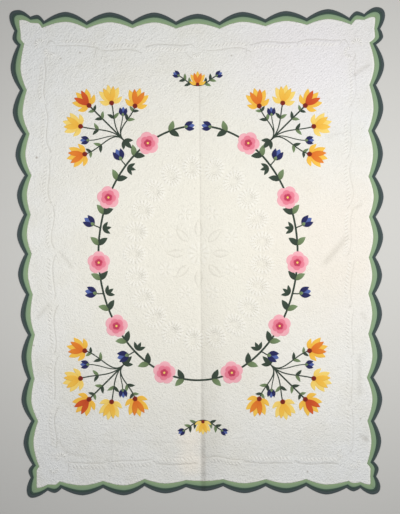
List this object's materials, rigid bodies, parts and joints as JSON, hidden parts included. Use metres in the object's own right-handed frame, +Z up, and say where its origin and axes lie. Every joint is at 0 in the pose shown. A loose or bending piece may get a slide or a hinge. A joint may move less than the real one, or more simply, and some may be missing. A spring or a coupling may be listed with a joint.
{
  "type": "quilt with scalloped edges",
  "caption": "Cream bed quilt laid out flat, with scalloped sides, green bands around the edge, hand quilting and sewn-on cloth flowers.",
  "frame": {"origin": "on the underside, in the middle of the quilt's outer box", "axes": "+Y along the quilt towards its head end, +X to the right as seen from above, +Z up out of its face"},
  "size_m": [1.767, 2.308, 0.0066],
  "materials": {
    "white_cotton": "matt, quilted",
    "sage_cotton": "matt",
    "dark_green_cotton": "matt",
    "slate_cotton": "matt"
  },
  "bodies": {
    "root": {"quilt_ground": "white_cotton", "sage_head": "sage_cotton", "sage_right": "sage_cotton", "sage_foot": "sage_cotton", "sage_left": "sage_cotton", "green_head": "dark_green_cotton", "green_right": "dark_green_cotton", "green_foot": "dark_green_cotton", "green_left": "dark_green_cotton", "binding_head": "slate_cotton", "binding_right": "slate_cotton", "binding_foot": "slate_cotton", "binding_left": "slate_cotton"}
  },
  "joints": []
}
